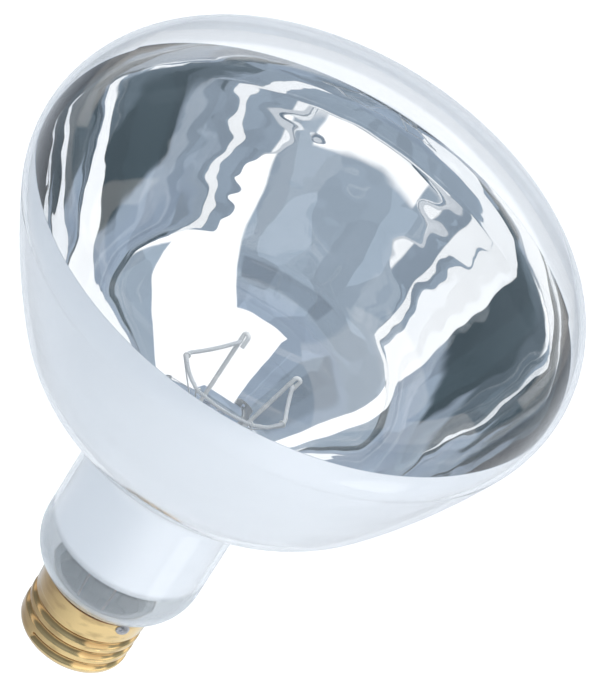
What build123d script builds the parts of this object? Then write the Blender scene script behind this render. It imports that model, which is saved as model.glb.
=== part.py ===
"""Incandescent reflector bulb with a screw base, upright on its centre contact.

Millimetres. The bulb's axis is Z, with the base at the bottom and the domed face at the top.
The origin is the middle of the solder on the centre contact.
"""

from build123d import *
from math import acos, asin, cos, degrees, hypot, radians, sin, sqrt, tan
import os

os.makedirs("parts", exist_ok=True)

# Envelope, one blown glass piece. Radii and heights are those of its outside.
equator_radius = 63.5         # half of the widest diameter
equator_height = 128.0        # height of the widest diameter
face_radius = 95.0            # gentle dome of the face
shoulder_radius = 22.0        # rounding from the face over the widest diameter
shoulder_run_on = 20.0        # degrees that the rounding runs on below the widest diameter
bowl_radius = 187.0           # long upper part of the bowl
bowl_turn = 10.5              # degrees
knee_radius = 41.0            # tighter lower part of the bowl
knee_turn = 22.5              # degrees
fold_radius = 8.5             # hollow fold where the bowl meets the neck
neck_radius = 19.2
neck_foot_height = 35.0       # where the straight neck ends
neck_foot_radius = 12.4       # rounding from the neck down into the cap
throat_radius = 11.2          # glass inside the cap
throat_end_height = 13.0
glass_wall = 1.1

# Mirror on the inside of the bowl and of the upper neck.
mirror_thickness = 0.12
mirror_gap = 0.05
mirror_edge_rise = 1.6        # how far it reaches above the widest diameter
mirror_neck_height = 38.5     # its lower edge, part way down the neck

# Screw shell, rolled from thin brass.
skirt_radius = 13.15
skirt_top_height = 24.0
skirt_length = 5.3
shell_wall = 0.3
crest_radius = 13.05
thread_pitch = 3.63
thread_depth = 0.75
groove_radius = 1.25          # round of the rolled groove
groove_turns = 2.5
groove_top_drop = 1.8         # from the skirt's lower edge to the top end of the groove
shell_round_height = 8.6      # where the shell starts to close in
shell_round_radius = 3.0
shell_round_turn = 65.0       # degrees

# Insulator, centre contact and solder.
insulator_top_height = 9.2
insulator_foot_height = 1.7
insulator_foot_radius = 6.0
insulator_fit = 0.05
contact_radius = 4.8
contact_thickness = 0.7
contact_dome = 0.35           # rounding of the contact's rim
eyelet_radius = 1.7
eyelet_wall = 0.35
eyelet_length = 4.0
centre_solder_radius = 3.1
centre_solder_flat_radius = 1.4
side_solder_angle = -45.0     # degrees about the axis, from +X
side_solder_width = 3.4
side_solder_length = 2.6
side_solder_rise = 1.0        # how far it stands out from the skirt
side_solder_drop = 0.15       # below the skirt's top edge

# Cement between the neck and the skirt.
cement_foot_clearance = 0.35  # above the skirt's lower edge
cement_top_drop = 0.2         # below the start of the neck's rounding

# Stem: flare, tube and flat press.
stem_radius = 5.4
stem_wall = 0.9
flare_throat_gap = 0.2
stem_tube_top = 41.0
press_foot_height = 46.0
press_top_height = 54.0
press_width = 15.0
press_thickness = 4.6
press_corner_radius = 1.6
exhaust_radius = 2.0
exhaust_wall = 0.6
exhaust_tip_height = 10.6
blow_hole_radius = 0.8
blow_hole_rise = 1.6          # above the tube's top

# Cane that stands on the press and carries the support wires.
cane_radius = 1.4
cane_button_radius = 2.4
cane_button_height = 3.6
cane_button_rounding = 0.9
cane_top_height = 74.0

# Heat deflector, a thin disc round the press.
deflector_height = 47.5
deflector_thickness = 0.3
deflector_neck_clearance = 0.8
deflector_press_clearance = 0.1

# Leads and seal wires.
lead_spacing = 6.8
lead_radius = 0.5
lead_seat_depth = 1.5         # in the press
lead_fold_leg = 2.6           # folded-back end
lead_pinch_gap = 0.03         # between the filament's end and each leg of the fold
lead_knee_rise = 1.5          # above the press
lead_knee_radius = 3.0
seal_wire_radius = 0.3
feed_radius = 0.3
feed_seat_depth = 1.0         # in the foot of the press
feed_bend_height = 10.9       # under the flare
feed_bend_radius = 1.0

# Filament: a coiled wire hung in an open loop on four supports.
filament_height = 91.0
filament_coil_radius = 0.5
filament_tail_radius = 0.15
coil_lead_gap = 0.15          # between the coil's ends and the leads
filament_corner_radius = 3.0
mount_lean = 2.4              # the loop stands this far to the right of the axis
loop_radius = 13.8
left_tip_angle = 109.0        # degrees about the middle of the loop, from +X
support_angles = [191.0, 239.0, 300.0, 337.0]
right_tip_angle = 404.0
support_radius = 0.25
support_eye_gap = 0.15
support_eye_turn = 285.0      # degrees of the eye round the filament
support_seat_depth = 1.2      # in the cane's button


def filled_envelope(inset):
    """Solid that fills the envelope's outside, moved inwards by inset."""
    face_turn = degrees(asin((equator_radius - shoulder_radius) / (face_radius - shoulder_radius)))
    shoulder_turn = 90 - face_turn + shoulder_run_on
    flare_angle = shoulder_run_on + bowl_turn + knee_turn
    fold_end_radius = neck_radius - inset + (fold_radius + inset) * (1 - cos(radians(flare_angle)))
    foot_centre = neck_radius - neck_foot_radius
    foot_reach = throat_radius - inset - foot_centre
    foot_turn = degrees(acos(foot_reach / (neck_foot_radius - inset)))
    with BuildPart() as filled:
        with BuildSketch(Plane.XZ):
            with BuildLine():
                face = JernArc((0, face_top_height - inset), (1, 0), face_radius - inset, -face_turn)
                shoulder = JernArc(face @ 1, face % 1, shoulder_radius - inset, -shoulder_turn)
                bowl = JernArc(shoulder @ 1, shoulder % 1, bowl_radius - inset, -bowl_turn)
                knee = JernArc(bowl @ 1, bowl % 1, knee_radius - inset, -knee_turn)
                drop = ((knee @ 1).X - fold_end_radius) / tan(radians(flare_angle))
                cone = Line(knee @ 1, (fold_end_radius, (knee @ 1).Y - drop))
                fold = JernArc(cone @ 1, cone % 1, fold_radius + inset, flare_angle)
                neck = Line(fold @ 1, (neck_radius - inset, neck_foot_height))
                foot = JernArc(neck @ 1, (0, -1), neck_foot_radius - inset, -foot_turn)
                Polyline(
                    foot @ 1,
                    (throat_radius - inset, throat_end_height),
                    (0, throat_end_height),
                    (0, face_top_height - inset),
                )
            make_face()
        revolve(axis=Axis.Z)
    return filled.part


def wire(route, radius):
    """Round wire of this radius along a route."""
    with BuildPart() as rod:
        with BuildSketch(Plane(origin=route @ 0, z_dir=route % 0)):
            Circle(radius)
        sweep(path=route)
    return rod.part


def flat_direction(angle):
    """Level unit vector at this many degrees about the axis."""
    return Vector(cos(radians(angle)), sin(radians(angle)), 0)


# Heights that follow from the sizes above.
shoulder_centre_radius = equator_radius - shoulder_radius
face_centre_drop = sqrt((face_radius - shoulder_radius) ** 2 - shoulder_centre_radius ** 2)
face_top_height = equator_height - face_centre_drop + face_radius
foot_centre_radius = neck_radius - neck_foot_radius
throat_top_height = neck_foot_height - sqrt(
    neck_foot_radius ** 2 - (throat_radius - foot_centre_radius) ** 2
)
skirt_foot_height = skirt_top_height - skirt_length

outside = filled_envelope(0)
inside = filled_envelope(glass_wall)
mirror_back = filled_envelope(glass_wall + mirror_gap)
mirror_face = filled_envelope(glass_wall + mirror_gap + mirror_thickness)

with BuildPart() as glass_envelope:
    add(outside)
    add(inside, mode=Mode.SUBTRACT)
glass_envelope.part.label = "glass_envelope"

with BuildPart() as mirror_coating:
    add(mirror_back)
    add(mirror_face, mode=Mode.SUBTRACT)
    with BuildSketch(Plane.XY.offset(mirror_neck_height)):
        Circle(equator_radius)
    extrude(
        amount=equator_height + mirror_edge_rise - mirror_neck_height,
        mode=Mode.INTERSECT,
    )
mirror_coating.part.label = "mirror_coating"

# Screw shell: a brass tube that closes in at its foot, with one helical groove rolled into it.
shell_bore_radius = crest_radius - shell_wall
skirt_bore_radius = skirt_radius - shell_wall
groove_path_radius = crest_radius - thread_depth + groove_radius
groove_height = groove_turns * thread_pitch
groove_foot_height = skirt_foot_height - groove_top_drop - groove_height


# Feed wires from the foot of the press to the side solder and to the centre contact.
lead_x = lead_spacing / 2
feed_top_height = stem_tube_top + feed_seat_depth
feed_channel_radius = (throat_radius + shell_bore_radius - thread_depth) / 2
side_direction = flat_direction(side_solder_angle)
side_solder_middle = skirt_top_height - side_solder_drop - side_solder_length / 2
contact_foot_height = insulator_foot_height - contact_thickness

with BuildPart() as right_feed:
    channel_foot = side_direction * feed_channel_radius + Vector(0, 0, feed_bend_height)
    channel_top = side_direction * feed_channel_radius + Vector(0, 0, side_solder_middle)
    with BuildLine() as route:
        FilletPolyline(
            (lead_x, 0, feed_top_height),
            (lead_x, 0, feed_bend_height),
            channel_foot,
            channel_top,
            side_direction * (skirt_radius + side_solder_rise / 2) + Vector(0, 0, side_solder_middle),
            radius=feed_bend_radius,
        )
    add(wire(route.line, feed_radius))
right_feed.part.label = "right_feed"

with BuildPart() as left_feed:
    with BuildLine() as route:
        FilletPolyline(
            (-lead_x, 0, feed_top_height),
            (-lead_x, 0, feed_bend_height),
            (0, 0, insulator_top_height),
            (0, 0, contact_foot_height / 2),
            radius=feed_bend_radius,
        )
    add(wire(route.line, feed_radius))
left_feed.part.label = "left_feed"


def shell_section(inset):
    """Line from the skirt's top edge down the shell's outside, moved inwards by inset."""
    skirt = Line((skirt_radius - inset, skirt_top_height), (skirt_radius - inset, skirt_foot_height))
    step = Line(skirt @ 1, (crest_radius - inset, skirt_foot_height - (skirt_radius - crest_radius)))
    wall = Line(step @ 1, (crest_radius - inset, shell_round_height))
    return JernArc(wall @ 1, (0, -1), shell_round_radius - inset, -shell_round_turn)


def groove_rope(radius):
    """Rope of this radius along the groove, with rounded ends."""
    with BuildPart() as rope:
        with BuildLine() as helix:
            Helix(thread_pitch, groove_height, groove_path_radius, center=(0, 0, groove_foot_height))
        with BuildSketch(Plane(origin=helix.line @ 0, z_dir=helix.line % 0)):
            Circle(radius)
        sweep(path=helix.line, is_frenet=True)
        with Locations(helix.line @ 0, helix.line @ 1):
            Sphere(radius)
    return rope.part


with BuildPart() as shell_core:
    with BuildSketch(Plane.XZ):
        with BuildLine():
            end = shell_section(0)
            Polyline(end @ 1, (0, (end @ 1).Y), (0, skirt_top_height), (skirt_radius, skirt_top_height))
        make_face()
    revolve(axis=Axis.Z)

with BuildPart() as groove_backing:
    add(groove_rope(groove_radius + shell_wall))
    add(shell_core.part, mode=Mode.INTERSECT)

with BuildPart() as screw_shell:
    with BuildSketch(Plane.XZ):
        with BuildLine():
            outer_end = shell_section(0)
            inner_end = shell_section(shell_wall)
            Line(outer_end @ 1, inner_end @ 1)
            Line((skirt_radius, skirt_top_height), (skirt_bore_radius, skirt_top_height))
        make_face()
    revolve(axis=Axis.Z)
    add(groove_backing.part)
    add(groove_rope(groove_radius), mode=Mode.SUBTRACT)
    add(right_feed.part, mode=Mode.SUBTRACT)
screw_shell.part.label = "screw_shell"

# Insulator, contact and centre solder, stacked below the shell.
insulator_radius = (inner_end @ 1).X - insulator_fit
insulator_neck_height = (outer_end @ 1).Y
eyelet_bore_radius = eyelet_radius - eyelet_wall

with BuildPart() as base_insulator:
    with BuildSketch(Plane.XZ):
        with BuildLine():
            Polyline(
                (eyelet_radius, insulator_foot_height),
                (insulator_foot_radius, insulator_foot_height),
                (insulator_radius, insulator_neck_height),
                (insulator_radius, insulator_top_height),
                (eyelet_radius, insulator_top_height),
                close=True,
            )
        make_face()
    revolve(axis=Axis.Z)
base_insulator.part.label = "base_insulator"

with BuildPart() as centre_contact:
    with BuildSketch(Plane.XY.offset(contact_foot_height)):
        Circle(contact_radius)
    extrude(amount=contact_thickness)
    fillet(centre_contact.edges().group_by(Axis.Z)[0], contact_dome)
    with BuildSketch(Plane.XY.offset(insulator_foot_height)):
        Circle(eyelet_radius)
    extrude(amount=eyelet_length)
    with Locations((0, 0, contact_foot_height)):
        Cylinder(
            eyelet_bore_radius,
            contact_thickness + eyelet_length,
            align=(Align.CENTER, Align.CENTER, Align.MIN),
            mode=Mode.SUBTRACT,
        )
centre_contact.part.label = "centre_contact"

with BuildPart() as centre_solder:
    with BuildSketch(Plane.XZ):
        with BuildLine():
            Polyline(
                (eyelet_bore_radius, contact_foot_height),
                (eyelet_bore_radius, insulator_foot_height),
                (0, insulator_foot_height),
                (0, 0),
                (centre_solder_flat_radius, 0),
            )
            TangentArc(
                (centre_solder_flat_radius, 0),
                (centre_solder_radius, contact_foot_height),
                tangent=(1, 0),
            )
            Line((centre_solder_radius, contact_foot_height), (eyelet_bore_radius, contact_foot_height))
        make_face()
    revolve(axis=Axis.Z)
    add(left_feed.part, mode=Mode.SUBTRACT)
centre_solder.part.label = "centre_solder"

side_plane = Plane(
    origin=side_direction * skirt_radius + Vector(0, 0, side_solder_middle),
    x_dir=side_direction,
    z_dir=Vector(0, 0, 1),
)
with BuildPart() as solder_blob:
    Sphere(1)
    scale(by=(side_solder_rise, side_solder_width / 2, side_solder_length / 2))

with BuildPart() as side_solder:
    with Locations(side_plane):
        add(solder_blob.part)
    Cylinder(skirt_radius, skirt_top_height * 2, mode=Mode.SUBTRACT)
    add(right_feed.part, mode=Mode.SUBTRACT)
side_solder.part.label = "side_solder"

with BuildPart() as basing_cement:
    with BuildSketch(Plane.XY.offset(skirt_foot_height + cement_foot_clearance)):
        Circle(skirt_bore_radius)
        Circle(throat_radius, mode=Mode.SUBTRACT)
    extrude(amount=throat_top_height - cement_top_drop - skirt_foot_height - cement_foot_clearance)
    add(right_feed.part, mode=Mode.SUBTRACT)
basing_cement.part.label = "basing_cement"

# Stem: a flare that closes the throat, a tube, and the flat press that grips the leads.
flare_round = throat_radius - glass_wall - stem_radius - flare_throat_gap
stem_bore_radius = stem_radius - stem_wall
blow_hole_height = stem_tube_top + blow_hole_rise

# Corners of the filament's loop, and the foot and the pinched end of each lead.
loop_middle = Vector(mount_lean, 0, filament_height)
loop_corners = [loop_middle + flat_direction(angle) * loop_radius for angle in support_angles]
pinch_round = lead_radius + filament_tail_radius + lead_pinch_gap
lead_foot_height = press_top_height - lead_seat_depth


class FoldedLead:
    """Lead rod that leans out of the press and folds back over the filament's end."""

    def __init__(self, side, tip_angle, next_corner):
        foot = Vector(side * lead_x, 0, lead_foot_height)
        knee = Vector(side * lead_x, 0, press_top_height + lead_knee_rise)
        tip = loop_middle + flat_direction(tip_angle) * loop_radius
        along = (next_corner - tip).normalized()
        across = Vector(-along.Y, along.X, 0)
        across = across if across.X > 0 else -across
        fold_start = tip - across * pinch_round + Vector(0, 0, lead_fold_leg / 2)
        rise = (fold_start - knee).normalized()
        across = (across - rise * across.dot(rise)).normalized()
        fold_top = fold_start + (rise + across) * pinch_round
        fold_end = fold_start + across * 2 * pinch_round
        with BuildLine() as route:
            FilletPolyline(foot, knee, fold_start, radius=lead_knee_radius)
            ThreePointArc(fold_start, fold_top, fold_end)
            Line(fold_end, fold_end - rise * lead_fold_leg)
        self.part = wire(route.line, lead_radius)
        self.pinch = fold_start + across * pinch_round - rise * lead_fold_leg / 2


left_rod = FoldedLead(-1, left_tip_angle, loop_corners[0])
with BuildPart() as left_lead:
    add(left_rod.part)
left_lead.part.label = "left_lead"

right_rod = FoldedLead(1, right_tip_angle, loop_corners[-1])
with BuildPart() as right_lead:
    add(right_rod.part)
right_lead.part.label = "right_lead"

# Filament: the coil runs from fold to fold round the corners, with a thin tail at each end.
loop_points = [left_rod.pinch, *loop_corners, right_rod.pinch]
first_run = (loop_points[1] - loop_points[0]).normalized()
last_run = (loop_points[-2] - loop_points[-1]).normalized()
coil_points = [
    left_rod.pinch + first_run * (lead_radius + coil_lead_gap),
    *loop_corners,
    right_rod.pinch + last_run * (lead_radius + coil_lead_gap),
]

with BuildPart() as filament:
    with BuildLine() as coil_route:
        FilletPolyline(*coil_points, radius=filament_corner_radius)
    add(wire(coil_route.line, filament_coil_radius))
    for pinch, run in ((left_rod.pinch, first_run), (right_rod.pinch, last_run)):
        with BuildLine() as tail_route:
            Line(pinch - run * lead_radius, pinch + run * (lead_radius + 2 * coil_lead_gap))
        add(wire(tail_route.line, filament_tail_radius))
filament.part.label = "filament"


def eye_centre(before, corner, after):
    """Middle of the rounded corner of the filament between its two neighbouring points."""
    arriving = (corner - before).normalized()
    leaving = (after - corner).normalized()
    half_turn = radians(arriving.get_angle(leaving)) / 2
    inward = (leaving - arriving).normalized()
    return corner + inward * filament_corner_radius * (1 / cos(half_turn) - 1)


def support_wire(centre):
    """Wire from the cane's button to an eye round the filament at this point."""
    reach = hypot(centre.X, centre.Y)
    eye_radius = filament_coil_radius + support_eye_gap + support_radius
    seat = Vector(cane_button_radius - support_seat_depth, cane_top_height - cane_button_height / 2)
    to_eye = Vector(reach, filament_height) - seat
    swing = degrees(asin(eye_radius / to_eye.length))
    straight = to_eye.normalized().rotate(Axis.Z, -swing)
    tangent_point = seat + straight * sqrt(to_eye.length ** 2 - eye_radius ** 2)
    with BuildLine() as route:
        Line(seat, tangent_point)
        JernArc(tangent_point, straight, eye_radius, support_eye_turn)
    outward = Vector(centre.X, centre.Y, 0).normalized()
    upright = Plane(origin=(0, 0, 0), x_dir=outward, z_dir=outward.cross(Vector(0, 0, 1)))
    return wire(route.line.moved(upright.location), support_radius)


support_names = ["first_support", "second_support", "third_support", "fourth_support"]
supports = {}
for index, name in enumerate(support_names):
    before, corner, after = loop_points[index:index + 3]
    with BuildPart() as support:
        add(support_wire(eye_centre(before, corner, after)))
    support.part.label = name
    supports[name] = support.part

# Cane with its button, standing on the press.
with BuildPart() as support_cane:
    with BuildSketch(Plane.XY.offset(press_top_height)):
        Circle(cane_radius)
    extrude(amount=cane_top_height - press_top_height)
    with BuildSketch(Plane.XY.offset(cane_top_height - cane_button_height)):
        Circle(cane_button_radius)
    extrude(amount=cane_button_height)
    button_rims = support_cane.edges().filter_by(GeomType.CIRCLE).filter_by(
        lambda edge: edge.radius > cane_button_radius - cane_button_rounding / 2
    )
    fillet(button_rims, cane_button_rounding)
    for support_part in supports.values():
        add(support_part, mode=Mode.SUBTRACT)
support_cane.part.label = "support_cane"

# Stem glass, bored for the leads, the seal wires and the pumping tube.
with BuildPart() as stem:
    with BuildSketch(Plane.XZ):
        with BuildLine():
            rim_top = Line((throat_radius, throat_end_height), (stem_radius + flare_round, throat_end_height))
            flare_top = JernArc(rim_top @ 1, (-1, 0), flare_round, -90)
            Polyline(flare_top @ 1, (stem_radius, stem_tube_top), (stem_bore_radius, stem_tube_top))
            tube_bore = Line((stem_bore_radius, stem_tube_top), (stem_bore_radius, (flare_top @ 1).Y))
            flare_foot = JernArc(tube_bore @ 1, (0, -1), flare_round + stem_wall, 90)
            Polyline(flare_foot @ 1, (throat_radius, throat_end_height - stem_wall), rim_top @ 0)
        make_face()
    revolve(axis=Axis.Z)
    with BuildSketch(Plane.XY.offset(stem_tube_top)):
        Circle(stem_radius)
    with BuildSketch(Plane.XY.offset(press_foot_height)):
        RectangleRounded(press_width, press_thickness, press_corner_radius)
    loft()
    with BuildSketch(Plane.XY.offset(press_foot_height)):
        RectangleRounded(press_width, press_thickness, press_corner_radius)
    extrude(amount=press_top_height - press_foot_height)
    for x in (-lead_x, lead_x):
        with BuildSketch(Plane.XY.offset(feed_top_height)):
            with Locations((x, 0)):
                Circle(seal_wire_radius)
        extrude(amount=lead_foot_height - feed_top_height, mode=Mode.SUBTRACT)
    with BuildSketch(Plane.XY.offset(stem_tube_top)):
        Circle(exhaust_radius - exhaust_wall)
    extrude(amount=blow_hole_rise, mode=Mode.SUBTRACT)
    with BuildSketch(Plane.XZ.offset(-stem_radius)):
        with Locations((0, blow_hole_height)):
            Circle(blow_hole_radius)
    extrude(amount=stem_radius, mode=Mode.SUBTRACT)
    for held in (left_lead, right_lead, left_feed, right_feed):
        add(held.part, mode=Mode.SUBTRACT)
stem.part.label = "stem"

seals = {}
for name, x in (("left_seal", -lead_x), ("right_seal", lead_x)):
    with BuildPart() as seal:
        with BuildSketch(Plane.XY.offset(feed_top_height)):
            with Locations((x, 0)):
                Circle(seal_wire_radius)
        extrude(amount=lead_foot_height - feed_top_height)
    seal.part.label = name
    seals[name] = seal.part

# Pumping tube, melted shut at its tip.
with BuildPart() as exhaust_tube:
    with BuildSketch(Plane.XZ):
        with BuildLine():
            bore_radius = exhaust_radius - exhaust_wall
            tip_middle = exhaust_tip_height + exhaust_radius
            Polyline((exhaust_radius, tip_middle), (exhaust_radius, stem_tube_top), (bore_radius, stem_tube_top))
            Line((bore_radius, stem_tube_top), (bore_radius, tip_middle))
            JernArc((bore_radius, tip_middle), (0, -1), bore_radius, -90)
            Line((0, tip_middle - bore_radius), (0, exhaust_tip_height))
            JernArc((0, exhaust_tip_height), (1, 0), exhaust_radius, 90)
        make_face()
    revolve(axis=Axis.Z)
exhaust_tube.part.label = "exhaust_tube"

# Heat deflector, slotted to fit the press.
with BuildPart() as heat_deflector:
    with BuildSketch(Plane.XY.offset(deflector_height)):
        Circle(neck_radius - glass_wall - mirror_gap - mirror_thickness - deflector_neck_clearance)
        RectangleRounded(
            press_width + 2 * deflector_press_clearance,
            press_thickness + 2 * deflector_press_clearance,
            press_corner_radius + deflector_press_clearance,
            mode=Mode.SUBTRACT,
        )
    extrude(amount=deflector_thickness)
heat_deflector.part.label = "heat_deflector"

pieces = [
    glass_envelope.part,
    mirror_coating.part,
    screw_shell.part,
    base_insulator.part,
    centre_contact.part,
    centre_solder.part,
    side_solder.part,
    basing_cement.part,
    stem.part,
    exhaust_tube.part,
    support_cane.part,
    heat_deflector.part,
    left_lead.part,
    right_lead.part,
    *seals.values(),
    left_feed.part,
    right_feed.part,
    filament.part,
    *supports.values(),
]
for piece in pieces:
    export_step(piece, f"parts/{piece.label}.step")
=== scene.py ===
"""Studio scene of a reflector heat lamp: blown bulb, silver lining, screw cap and filament mount.

Lengths are in metres. The lamp stands on its centre contact with its axis along +Z.
"""
import logging
import math
from dataclasses import dataclass, field
from enum import Enum
from typing import Callable, Iterable, Sequence

import bpy
from mathutils import Matrix, Vector


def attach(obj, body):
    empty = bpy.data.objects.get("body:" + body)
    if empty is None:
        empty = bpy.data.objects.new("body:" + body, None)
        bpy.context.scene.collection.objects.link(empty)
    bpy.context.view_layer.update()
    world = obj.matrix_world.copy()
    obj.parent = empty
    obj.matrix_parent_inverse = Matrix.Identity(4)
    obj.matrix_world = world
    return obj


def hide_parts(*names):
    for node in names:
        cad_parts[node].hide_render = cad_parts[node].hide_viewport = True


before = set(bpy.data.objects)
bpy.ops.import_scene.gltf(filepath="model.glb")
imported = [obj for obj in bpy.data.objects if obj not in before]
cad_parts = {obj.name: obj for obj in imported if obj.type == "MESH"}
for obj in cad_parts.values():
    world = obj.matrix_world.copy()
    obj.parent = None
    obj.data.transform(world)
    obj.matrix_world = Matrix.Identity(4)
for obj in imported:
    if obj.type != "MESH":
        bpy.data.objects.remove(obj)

log = logging.getLogger("lamp_scene")

MM = 0.001
Point = tuple[float, float]
FLOAT = "NodeSocketFloat"
VECTOR = "NodeSocketVector"


class Slot(Enum):
    """Material slots of the record that the pieces take their finish from."""

    GLASS = "clear_glass"
    MIRROR = "mirror"
    BRASS = "brass"
    BLACK_GLASS = "black_glass"
    SOLDER = "solder"
    CEMENT = "cement"
    SHEET = "aluminium_sheet"
    WIRE = "nickel_wire"
    COPPER = "copper_wire"
    TUNGSTEN = "tungsten"


# ---------------------------------------------------------------- outlines


@dataclass
class Outline:
    """A turned outline in the half plane of radius and height, drawn as a pen that runs on smoothly.

    Args:
        start: First point as (radius, height) in millimetres.
        heading: Direction of travel in degrees, 0 outwards and 90 upwards.
        step: Longest turn of an arc between two points, in degrees.
    """

    start: Point
    heading: float = 0.0
    step: float = 3.0
    points: list[Point] = field(default_factory=list)

    def __post_init__(self) -> None:
        self.points = [self.start]

    def arc(self, radius: float, turn: float) -> "Outline":
        """Runs on round an arc.

        Args:
            radius: Radius of the arc in millimetres.
            turn: Change of heading in degrees, positive to the left.

        Returns:
            The outline itself.
        """
        count = max(1, math.ceil(abs(turn) / self.step))
        side = math.copysign(1.0, turn)
        r, z = self.points[-1]
        a = math.radians(self.heading)
        cr, cz = r - side * radius * math.sin(a), z + side * radius * math.cos(a)
        for i in range(1, count + 1):
            b = a + math.radians(turn) * i / count
            self.points.append((cr + side * radius * math.sin(b), cz - side * radius * math.cos(b)))
        self.heading += turn
        return self

    def line(self, *ends: Point, parts: int = 1) -> "Outline":
        """Runs straight to each of these points in turn.

        Args:
            ends: Points as (radius, height) in millimetres.
            parts: Number of equal steps on each line.

        Returns:
            The outline itself.
        """
        for r1, z1 in ends:
            r0, z0 = self.points[-1]
            for i in range(1, parts + 1):
                t = i / parts
                self.points.append((r0 + (r1 - r0) * t, z0 + (z1 - z0) * t))
            self.heading = math.degrees(math.atan2(z1 - z0, r1 - r0))
        return self


def between(points: Sequence[Point], low: float, high: float) -> list[Point]:
    """Cuts the part of an outline that lies between two heights.

    Args:
        points: Outline from the top down.
        low: Lower height in millimetres.
        high: Upper height in millimetres.

    Returns:
        The points between the heights, with new ones where the outline crosses them.
    """
    kept: list[Point] = []
    for (r0, z0), (r1, z1) in zip(points, points[1:]):
        for level in (high, low):
            if (z0 - level) * (z1 - level) < 0:
                t = (z0 - level) / (z0 - z1)
                kept.append((r0 + (r1 - r0) * t, level))
        if low < z1 < high:
            kept.append((r1, z1))
    return kept


# ---------------------------------------------------------------- modelling


def deselect() -> None:
    """Leaves edit mode and clears the selection."""
    if bpy.context.mode != "OBJECT":
        bpy.ops.object.mode_set(mode="OBJECT")
    bpy.ops.object.select_all(action="DESELECT")


def take(name: str) -> bpy.types.Object:
    """Names the object that the last operator made.

    Args:
        name: New name of the active object and its data.

    Returns:
        The object.
    """
    made = bpy.context.active_object
    made.name = made.data.name = name
    return made


def extrude_to(start: Vector, points: Iterable[Vector]) -> None:
    """Draws a chain of edges from the selected point, in edit mode.

    Args:
        start: Place of the selected point.
        points: Places that the chain runs through.
    """
    here = start
    for point in points:
        bpy.ops.mesh.extrude_region_move(TRANSFORM_OT_translate={"value": point - here})
        here = point


def single_point(name: str, place: Vector) -> bpy.types.Object:
    """Makes a mesh of one point and leaves it in edit mode with that point selected.

    Args:
        name: Name of the object.
        place: Place of the point in metres.

    Returns:
        The object.
    """
    deselect()
    bpy.ops.mesh.primitive_plane_add(size=0.01)
    made = take(name)
    bpy.ops.object.mode_set(mode="EDIT")
    bpy.ops.mesh.select_all(action="SELECT")
    bpy.ops.mesh.merge(type="CENTER")
    bpy.ops.transform.translate(value=place)
    return made


def spun(name: str, points: Sequence[Point], steps: int, closed: bool) -> bpy.types.Object:
    """Turns an outline about the axis.

    Args:
        name: Name of the piece.
        points: Outline as (radius, height) in millimetres.
        steps: Number of steps round the axis.
        closed: True if the outline's last point joins its first.

    Returns:
        The finished piece, smooth and with its normals outwards.
    """
    path = [Vector((r * MM, 0, z * MM)) for r, z in points]
    made = single_point(name, path[0])
    extrude_to(path[0], path[1:] + ([path[0]] if closed else []))
    bpy.ops.mesh.select_all(action="SELECT")
    bpy.ops.mesh.remove_doubles(threshold=1e-7)
    bpy.ops.mesh.spin(steps=steps, angle=math.tau, center=(0, 0, 0), axis=(0, 0, 1))
    bpy.ops.mesh.select_all(action="SELECT")
    bpy.ops.mesh.remove_doubles(threshold=1e-7)
    bpy.ops.mesh.normals_make_consistent(inside=False)
    bpy.ops.object.mode_set(mode="OBJECT")
    bpy.ops.object.shade_smooth_by_angle(angle=math.radians(35))
    return made


# ---------------------------------------------------------------- finishes


def new_material(name: str) -> tuple[bpy.types.Material, bpy.types.NodeTree, bpy.types.Node]:
    """Makes a material with a plain Principled shader.

    Args:
        name: Name of the material.

    Returns:
        The material, its node tree and the shader node.
    """
    made = bpy.data.materials.new(name)
    made.use_nodes = True
    tree = made.node_tree
    return made, tree, tree.nodes["Principled BSDF"]


def shared_group(
    name: str, inputs: dict[str, str], outputs: dict[str, str]
) -> tuple[bpy.types.NodeTree, bool]:
    """Finds a shared node group, or starts it with its sockets.

    Args:
        name: Name of the group.
        inputs: Kind of socket of each named input.
        outputs: Kind of socket of each named output.

    Returns:
        The group, and True if its nodes have still to be made.
    """
    known = bpy.data.node_groups.get(name)
    if known:
        return known, False
    group = bpy.data.node_groups.new(name, "ShaderNodeTree")
    for direction, sockets in (("INPUT", inputs), ("OUTPUT", outputs)):
        for label, kind in sockets.items():
            group.interface.new_socket(label, in_out=direction, socket_type=kind)
    return group, True


def placed(
    tree: bpy.types.NodeTree, group: bpy.types.NodeTree, values: dict[str, object] | None = None
) -> bpy.types.Node:
    """Places a shared group in a tree.

    Args:
        tree: Node tree of the material.
        group: The group.
        values: Number or socket of each input that isn't left as it is.

    Returns:
        The group's node.
    """
    node = tree.nodes.new("ShaderNodeGroup")
    node.node_tree = group
    for label, value in (values or {}).items():
        if isinstance(value, bpy.types.NodeSocket):
            tree.links.new(value, node.inputs[label])
        else:
            node.inputs[label].default_value = value
    return node


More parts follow.
